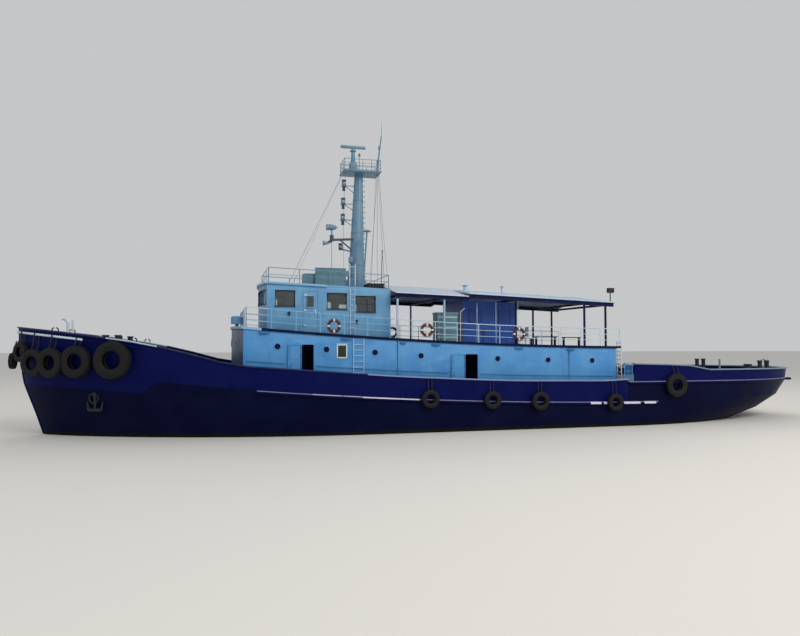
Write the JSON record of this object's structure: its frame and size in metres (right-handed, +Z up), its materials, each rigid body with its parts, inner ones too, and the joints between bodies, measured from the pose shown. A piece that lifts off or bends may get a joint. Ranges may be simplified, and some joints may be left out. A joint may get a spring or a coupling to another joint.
{
  "type": "tugboat, 1:2 scale model",
  "caption": "Long sea tugboat afloat at half size: hollow deckhouse and wheelhouse, mast with radar, canopies, tyre fenders, rudder and screw, with doors that swing.",
  "frame": {"origin": "on the waterline, on the centreline, near the middle of the hull's length", "axes": "+X to the stern, +Y to starboard, +Z up; the bow points to -X"},
  "size_m": [23.5845, 5.1034, 10.6902],
  "materials": {
    "hull_navy": "weathered satin paint",
    "deck_paint": "matt non-slip paint",
    "house_blue": "satin paint",
    "wheelhouse_blue": "satin paint",
    "pale_paint": "satin paint",
    "trim_navy": "satin paint",
    "mast_blue": "satin paint",
    "tyre_rubber": "worn matt rubber",
    "bronze": "cast and ground",
    "window_glass": "clear, dark inside",
    "casing_blue": "satin paint",
    "teal_paint": "satin paint",
    "galvanised": "dull zinc",
    "dark_steel": "dull dark paint"
  },
  "bodies": {
    "ship": {"hull": "hull_navy", "forecastle": "deck_paint", "poop": "deck_paint", "bulwark_bow": "hull_navy", "bulwark_port": "hull_navy", "bulwark_starboard": "hull_navy", "bulwark_stern": "hull_navy", "cap_rail_bow": "pale_paint", "cap_rail_port": "pale_paint", "cap_rail_starboard": "pale_paint", "cap_rail_stern": "pale_paint", "strake_port": "hull_navy", "strake_starboard": "hull_navy", "strake_stern": "hull_navy", "bow_fender": "tyre_rubber", "engine_block": "dark_steel", "house_front": "house_blue", "house_port": "house_blue", "house_starboard": "house_blue", "house_aft": "house_blue", "boat_deck": "trim_navy", "wheelhouse_front": "wheelhouse_blue", "wheelhouse_port": "wheelhouse_blue", "wheelhouse_starboard": "wheelhouse_blue", "wheelhouse_aft": "wheelhouse_blue", "wheelhouse_glass_front": "window_glass", "wheelhouse_glass_port": "window_glass", "wheelhouse_glass_starboard": "window_glass", "wheelhouse_roof": "wheelhouse_blue", "mast": "mast_blue", "mast_platform": "mast_blue", "forestays": "galvanised", "backstays": "galvanised", "boat_deck_rail": "pale_paint", "roof_rail": "pale_paint", "roof_console": "teal_paint", "name_board": "teal_paint", "canopy_sheet": "pale_paint", "aft_roof": "pale_paint", "canopy_frame": "dark_steel", "engine_casing": "casing_blue", "deck_locker": "teal_paint", "anchor_port": "dark_steel", "anchor_starboard": "dark_steel", "windlass_frame": "dark_steel", "towing_post": "dark_steel", "floodlight": "dark_steel", "front_ventilator": "mast_blue"},
    "rudder": {"rudder": "hull_navy"},
    "propeller": {"propeller": "bronze"},
    "radar": {"radar_scanner": "pale_paint"},
    "searchlight": {"searchlight": "pale_paint"},
    "windlass": {"windlass_drum": "galvanised"},
    "towing_hook": {"towing_hook": "galvanised"},
    "door_port_fore": {"house_door_port_fore": "house_blue"},
    "door_starboard_fore": {"house_door_starboard_fore": "house_blue"},
    "door_port_aft": {"house_door_port_aft": "house_blue"},
    "door_starboard_aft": {"house_door_starboard_aft": "house_blue"},
    "wheel_door_port": {"wheelhouse_door_port": "wheelhouse_blue"},
    "wheel_door_starboard": {"wheelhouse_door_starboard": "wheelhouse_blue"}
  },
  "joints": [
    {"name": "rudder_steer", "type": "hinge", "parent": "ship", "child": "rudder", "pos_m": [9.33, 0, -1], "axis": [0, 0, 1], "range_deg": [-35, 35]},
    {"name": "propeller_spin", "type": "hinge", "parent": "ship", "child": "propeller", "pos_m": [8.64, 0, -1.06], "axis": [1, 0, 0], "continuous": true},
    {"name": "radar_spin", "type": "hinge", "parent": "ship", "child": "radar", "pos_m": [-3.23, 0, 8.05], "axis": [0, 0, 1], "continuous": true},
    {"name": "searchlight_turn", "type": "hinge", "parent": "ship", "child": "searchlight", "pos_m": [-3.9, -0.3, 5.43], "axis": [0, 0, 1], "range_deg": [-120, 120]},
    {"name": "windlass_spin", "type": "hinge", "parent": "ship", "child": "windlass", "pos_m": [-10, 0, 2.409], "axis": [0, 1, 0], "continuous": true},
    {"name": "towing_hook_turn", "type": "hinge", "parent": "ship", "child": "towing_hook", "pos_m": [5.4, 0, 1.6], "axis": [0, 0, 1], "range_deg": [-80, 80]},
    {"name": "door_port_fore_swing", "type": "hinge", "parent": "ship", "child": "door_port_fore", "pos_m": [-4.945, -1.886, 1.8], "axis": [0, 0, 1], "range_deg": [0, 180]},
    {"name": "door_starboard_fore_swing", "type": "hinge", "parent": "ship", "child": "door_starboard_fore", "pos_m": [-4.945, 1.886, 1.8], "axis": [0, 0, -1], "range_deg": [0, 180]},
    {"name": "door_port_aft_swing", "type": "hinge", "parent": "ship", "child": "door_port_aft", "pos_m": [-0.472, -1.886, 1.5], "axis": [0, 0, 1], "range_deg": [0, 180]},
    {"name": "door_starboard_aft_swing", "type": "hinge", "parent": "ship", "child": "door_starboard_aft", "pos_m": [-0.472, 1.886, 1.5], "axis": [0, 0, -1], "range_deg": [0, 180]},
    {"name": "wheel_door_port_swing", "type": "hinge", "parent": "ship", "child": "wheel_door_port", "pos_m": [-4.834, -1.316, 3.2], "axis": [0, 0, -1], "range_deg": [0, 110]},
    {"name": "wheel_door_starboard_swing", "type": "hinge", "parent": "ship", "child": "wheel_door_starboard", "pos_m": [-4.834, 1.316, 3.2], "axis": [0, 0, 1], "range_deg": [0, 110]}
  ]
}
